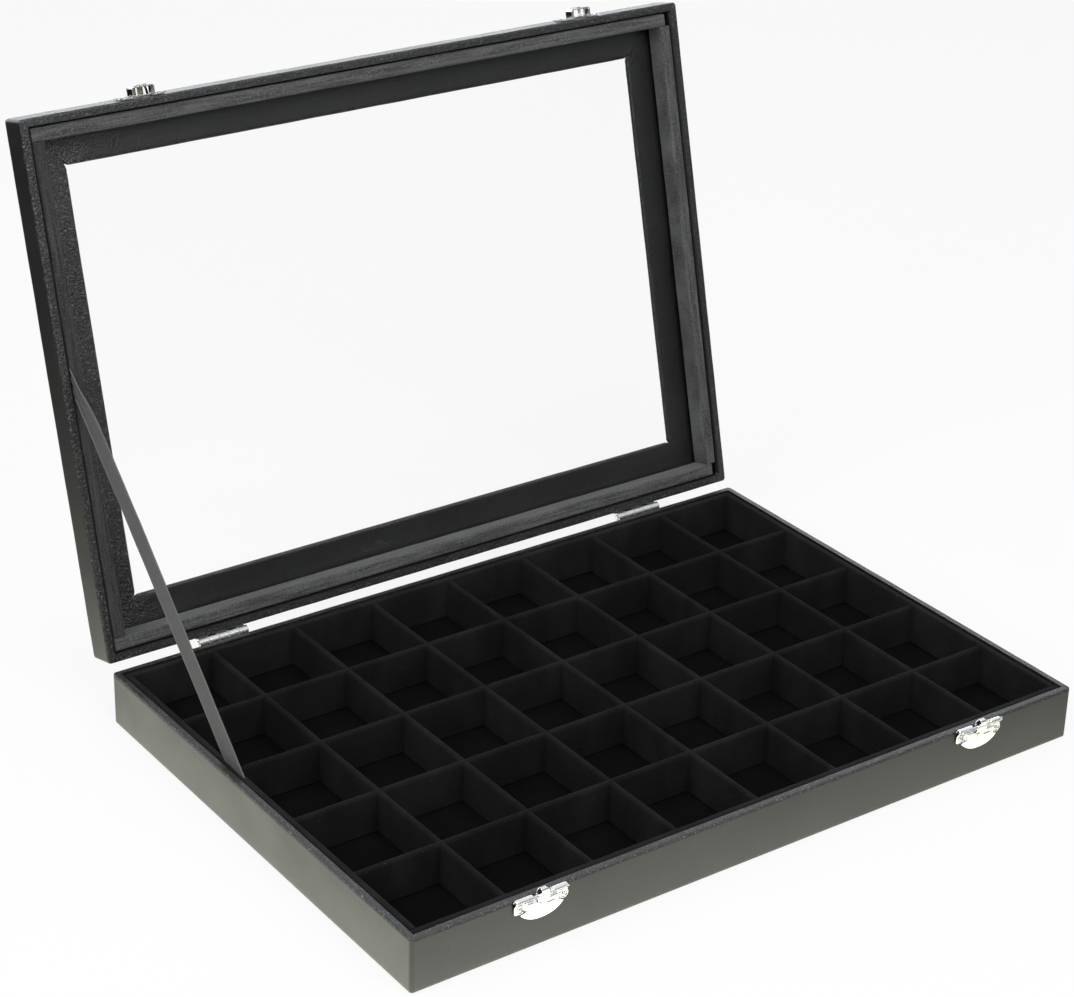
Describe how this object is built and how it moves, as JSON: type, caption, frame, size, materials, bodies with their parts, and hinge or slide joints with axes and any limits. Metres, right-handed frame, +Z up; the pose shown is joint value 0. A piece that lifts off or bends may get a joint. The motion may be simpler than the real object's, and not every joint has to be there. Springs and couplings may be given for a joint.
{
  "type": "jewelry organizer box",
  "caption": "Flat black jewellery organizer box: an open tray of small velvet compartments with a hinged window lid, front catches and a stay strap.",
  "frame": {"origin": "middle of the tray's flat underside", "axes": "+Z up, -Y to the side with the catches, +X to the right when facing the catches; the rest pose has the lid open, as pictured"},
  "size_m": [0.35, 0.3219, 0.2667],
  "materials": {
    "leatherette": "matt black fine-grained leatherette over board",
    "velvet": "black short-pile velvet",
    "bead_cloth": "dark grey smooth cloth",
    "glass": "clear flat pane",
    "chrome": "bright plated stamped sheet",
    "steel": "bright drawn steel",
    "ribbon": "black ribbed ribbon"
  },
  "bodies": {
    "tray": {"base_front_wall": "leatherette", "base_back_wall": "leatherette", "base_left_wall": "leatherette", "base_right_wall": "leatherette", "base_bottom_board": "leatherette", "base_floor_pad": "velvet", "base_front_liner": "velvet", "base_back_liner": "velvet", "base_left_liner": "velvet", "base_right_liner": "velvet", "row_divider_1": "velvet", "row_divider_2": "velvet", "row_divider_3": "velvet", "row_divider_4": "velvet", "cross_divider_1": "velvet", "cross_divider_2": "velvet", "cross_divider_3": "velvet", "cross_divider_4": "velvet", "cross_divider_5": "velvet", "cross_divider_6": "velvet", "cross_divider_7": "velvet", "left_hinge_base_leaf": "steel", "left_hinge_pin": "steel", "left_latch_plate": "chrome", "left_latch_pin": "steel", "left_latch_spring": "steel", "right_hinge_base_leaf": "steel", "right_hinge_pin": "steel", "right_latch_plate": "chrome", "right_latch_pin": "steel", "right_latch_spring": "steel", "lid_strap": "ribbon"},
    "lid": {"lid_front_rail": "leatherette", "lid_back_rail": "leatherette", "lid_left_rail": "leatherette", "lid_right_rail": "leatherette", "lid_glass": "glass", "lid_front_bead": "bead_cloth", "lid_back_bead": "bead_cloth", "lid_left_bead": "bead_cloth", "lid_right_bead": "bead_cloth", "left_hinge_lid_leaf": "steel", "left_latch_keeper": "chrome", "right_hinge_lid_leaf": "steel", "right_latch_keeper": "chrome"},
    "left_lever": {"left_latch_lever": "chrome"},
    "right_lever": {"right_latch_lever": "chrome"}
  },
  "joints": [
    {"name": "lid_hinge", "type": "hinge", "parent": "tray", "child": "lid", "pos_m": [0, 0.1233, 0.02515], "axis": [1, 0, 0], "range_deg": [0, 104.2], "deforming": ["lid_strap"]},
    {"name": "left_lever_hinge", "type": "hinge", "parent": "tray", "child": "left_lever", "pos_m": [-0.1152, -0.1227, 0.0243], "axis": [-1, 0, 0], "range_deg": [0, 12], "stiffness_Nm_per_rad": 0.002, "springref_deg": -57.3},
    {"name": "right_lever_hinge", "type": "hinge", "parent": "tray", "child": "right_lever", "pos_m": [0.1188, -0.1227, 0.0243], "axis": [-1, 0, 0], "range_deg": [0, 12], "stiffness_Nm_per_rad": 0.002, "springref_deg": -57.3}
  ]
}
